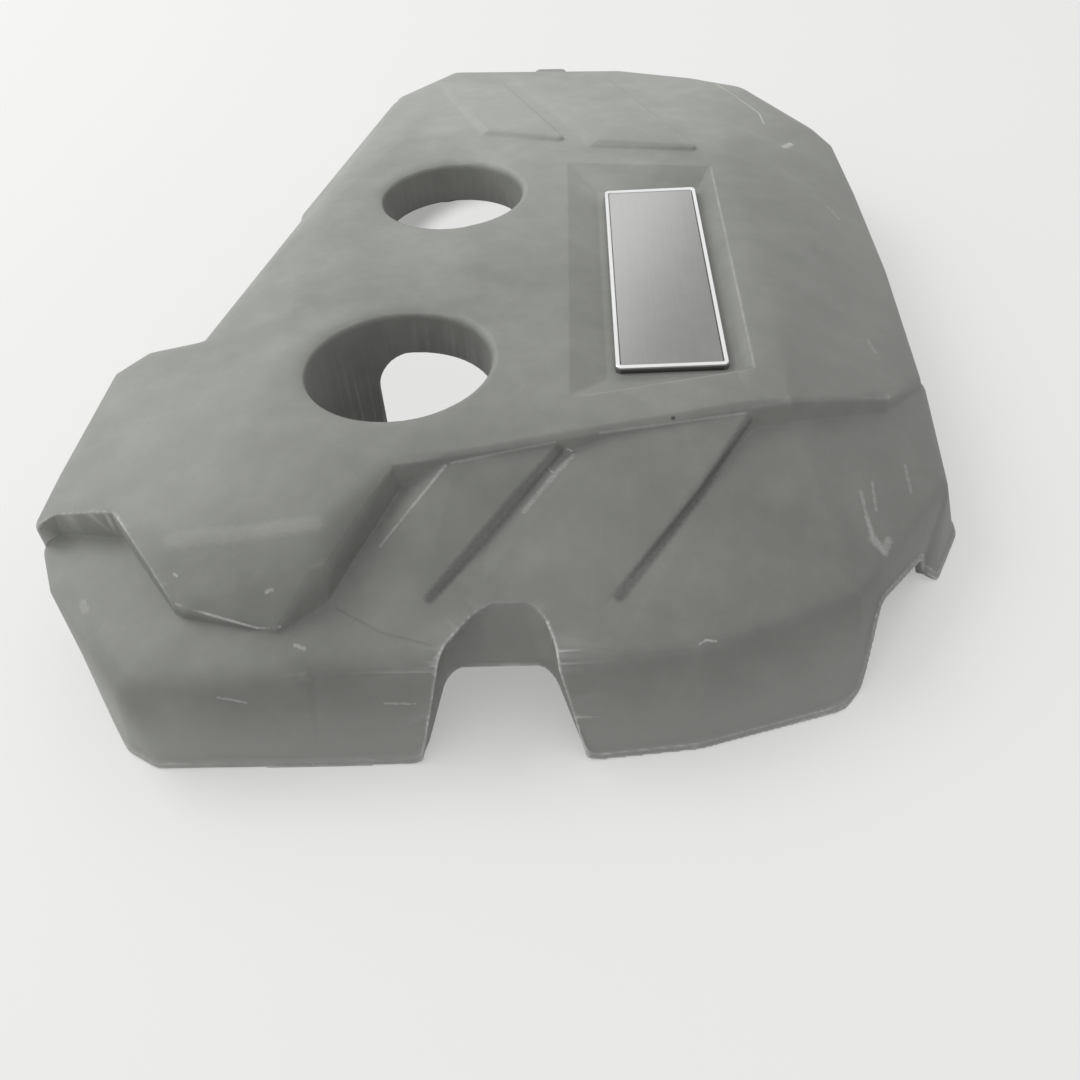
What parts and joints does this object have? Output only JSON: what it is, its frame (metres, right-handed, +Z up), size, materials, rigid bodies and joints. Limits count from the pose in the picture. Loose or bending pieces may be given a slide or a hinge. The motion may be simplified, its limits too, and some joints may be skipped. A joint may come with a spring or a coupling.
{
  "type": "engine cover",
  "caption": "Moulded engine cover with sloping sides, filler openings, a framed nameplate bed, raised fins and a notched front skirt.",
  "frame": {"origin": "centre of the cover's footprint at the rim it rests on", "axes": "+Z up, +Y from the front skirt towards the back, +X to the right seen from above with the front skirt nearest"},
  "size_m": [0.3929, 0.5206, 0.0825],
  "materials": {
    "cover_plastic": "moulded black plastic, faded to grey by dust and haze",
    "nameplate_plating": "bright plated plastic",
    "nameplate_face": "satin grey, fine brushed grain",
    "socket_rubber": "matte black rubber"
  },
  "bodies": {
    "root": {"cover_shell": "cover_plastic", "nameplate_frame": "nameplate_plating", "nameplate_panel": "nameplate_face", "socket_front_left": "socket_rubber", "socket_front_right": "socket_rubber", "socket_back_left": "socket_rubber", "socket_back_right": "socket_rubber"}
  },
  "joints": []
}
